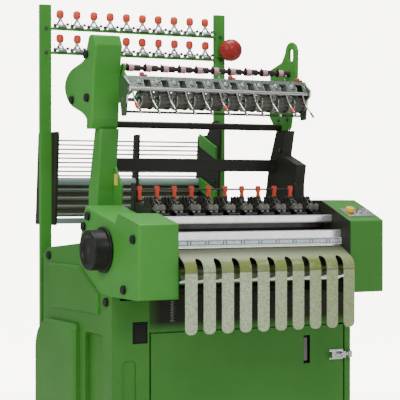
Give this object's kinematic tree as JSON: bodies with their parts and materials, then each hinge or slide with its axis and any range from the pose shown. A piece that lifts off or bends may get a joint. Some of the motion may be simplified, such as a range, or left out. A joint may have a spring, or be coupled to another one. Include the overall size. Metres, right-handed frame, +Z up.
{
  "type": "narrow-fabric needle loom",
  "caption": "Narrow-fabric needle loom: cast base with handwheel gearbox, comb-shaped take-off apron, weaving heads, overhead weft feeder and a rear thread stand with tensioners.",
  "frame": {"origin": "middle of the machine's footprint, on the floor", "axes": "+Z up, +X along the heads to the right as the weaver sees it, +Y to the rear stand"},
  "size_m": [0.97, 0.9816, 1.765],
  "materials": {
    "green_paint": "semi-gloss green enamel",
    "black_paint": "satin black enamel",
    "bright_steel": "ground steel",
    "chrome_plate": "polished plating",
    "comb_sheet": "pale speckled enamel",
    "black_plastic": "moulded black plastic",
    "red_plastic": "moulded red plastic",
    "lamp_red": "ribbed lamp dome",
    "yellow_plastic": "moulded yellow plastic",
    "panel_alu": "brushed sheet",
    "pink_rubber": "feed ring",
    "belt_rubber": "V-belt",
    "motor_grey": "grey enamel",
    "brown_bar": "brown lacquer",
    "cast_pulley": "turned"
  },
  "bodies": {
    "machine": {"left_side": "green_paint", "right_side": "green_paint", "front_column": "green_paint", "cabinet_panels": "green_paint", "top_deck": "green_paint", "levelling_feet": "black_plastic", "bolt_keeper": "chrome_plate", "belt_guard": "green_paint", "drive_belt": "belt_rubber", "motor": "motor_grey", "gearbox_front_cover": "green_paint", "gearbox_rear_cover": "green_paint", "right_gearbox": "green_paint", "inner_plate": "black_paint", "control_panel": "panel_alu", "thumb_knobs": "black_plastic", "breast_bars": "bright_steel", "comb_plate": "comb_sheet", "head_beam": "black_paint", "weaving_heads": "black_paint", "guide_tongues": "bright_steel", "return_spring": "bright_steel", "left_column": "green_paint", "left_head": "green_paint", "lobe_cover": "green_paint", "gusset": "green_paint", "right_column": "black_paint", "right_arm": "green_paint", "tie_tube": "black_paint", "beam_mount": "black_paint", "harness_beam": "black_paint", "feeder_rail": "panel_alu", "feeder_brackets": "green_paint", "stand_frame": "green_paint", "tensioner_bodies": "chrome_plate", "tensioner_caps": "red_plastic", "lamp_dome": "lamp_red", "stand_plates": "black_paint", "stand_slabs": "green_paint", "guide_rods": "bright_steel", "contact_bars": "brown_bar"},
    "main_drive": {"handwheel": "black_plastic", "main_shaft": "bright_steel"},
    "drive_pulley": {"drive_pulley": "cast_pulley"},
    "motor_pulley": {"motor_pulley": "cast_pulley"},
    "takeoff_roller": {"takeoff_roller": "chrome_plate"},
    "ring_feed": {"feed_shaft": "black_paint", "feed_rings": "pink_rubber"},
    "feed_drums": {"feed_drums": "black_paint"},
    "weft_fingers": {"weft_fingers": "bright_steel"},
    "slay": {"slay": "bright_steel"},
    "needle_bar": {"needle_bar": "bright_steel"},
    "feelers": {"feeler_rod": "bright_steel", "feeler_sticks": "red_plastic"},
    "front_door": {"door": "green_paint", "door_hardware": "chrome_plate"},
    "barrel_bolt": {"barrel_bolt": "chrome_plate"},
    "start_button": {"start_button": "yellow_plastic"},
    "selector": {"selector_knob": "chrome_plate"},
    "warp_roller": {"warp_roller": "chrome_plate"}
  },
  "joints": [
    {"name": "main_spin", "type": "hinge", "parent": "machine", "child": "main_drive", "pos_m": [0, -0.20025, 0.9175], "axis": [1, 0, 0], "continuous": true},
    {"name": "drive_pulley_spin", "type": "hinge", "parent": "machine", "child": "drive_pulley", "pos_m": [0, 0.23477, 0.553], "axis": [1, 0, 0], "continuous": true},
    {"name": "motor_spin", "type": "hinge", "parent": "machine", "child": "motor_pulley", "pos_m": [0, 0.14092, 0.33], "axis": [1, 0, 0], "continuous": true},
    {"name": "takeoff_spin", "type": "hinge", "parent": "machine", "child": "takeoff_roller", "pos_m": [0, -0.43525, 0.842], "axis": [1, 0, 0], "continuous": true},
    {"name": "ring_feed_spin", "type": "hinge", "parent": "machine", "child": "ring_feed", "pos_m": [0, -0.05025, 1.52], "axis": [1, 0, 0], "continuous": true},
    {"name": "feed_drum_spin", "type": "hinge", "parent": "machine", "child": "feed_drums", "pos_m": [0, -0.15925, 1.406], "axis": [1, 0, 0], "continuous": true},
    {"name": "warp_roller_spin", "type": "hinge", "parent": "machine", "child": "warp_roller", "pos_m": [0, 0.45285, 1.14], "axis": [1, 0, 0], "continuous": true},
    {"name": "weft_finger_swing", "type": "hinge", "parent": "machine", "child": "weft_fingers", "pos_m": [0, -0.20025, 1.439], "axis": [1, 0, 0], "range_deg": [-20, 10]},
    {"name": "slay_swing", "type": "hinge", "parent": "machine", "child": "slay", "pos_m": [0, -0.29925, 0.85], "axis": [1, 0, 0], "range_deg": [-2, 4]},
    {"name": "needle_slide", "type": "slide", "parent": "machine", "child": "needle_bar", "axis": [1, 0, 0], "range_m": [-0.01, 0.01]},
    {"name": "feeler_tip", "type": "hinge", "parent": "machine", "child": "feelers", "pos_m": [0, -0.11925, 1.112], "axis": [1, 0, 0], "range_deg": [-20, 15]},
    {"name": "door_swing", "type": "hinge", "parent": "machine", "child": "front_door", "pos_m": [-0.277, -0.25025, 0.36], "axis": [0, 0, -1], "range_deg": [0, 110]},
    {"name": "bolt_slide", "type": "slide", "parent": "front_door", "child": "barrel_bolt", "axis": [1, 0, 0], "range_m": [0, 0.016]},
    {"name": "button_press", "type": "slide", "parent": "machine", "child": "start_button", "axis": [0, 0.3657, -0.9307], "range_m": [0, 0.004], "stiffness_N_per_m": 400, "springref_m": -0.002},
    {"name": "selector_turn", "type": "hinge", "parent": "machine", "child": "selector", "pos_m": [0.42275, -0.39587, 1.03188], "axis": [0, -0.3657, 0.9307], "range_deg": [-45, 45]}
  ],
  "couplings": [
    {"joint": "drive_pulley_spin", "follows": "main_spin", "ratio": 1},
    {"joint": "motor_spin", "follows": "main_spin", "ratio": 2.25}
  ]
}
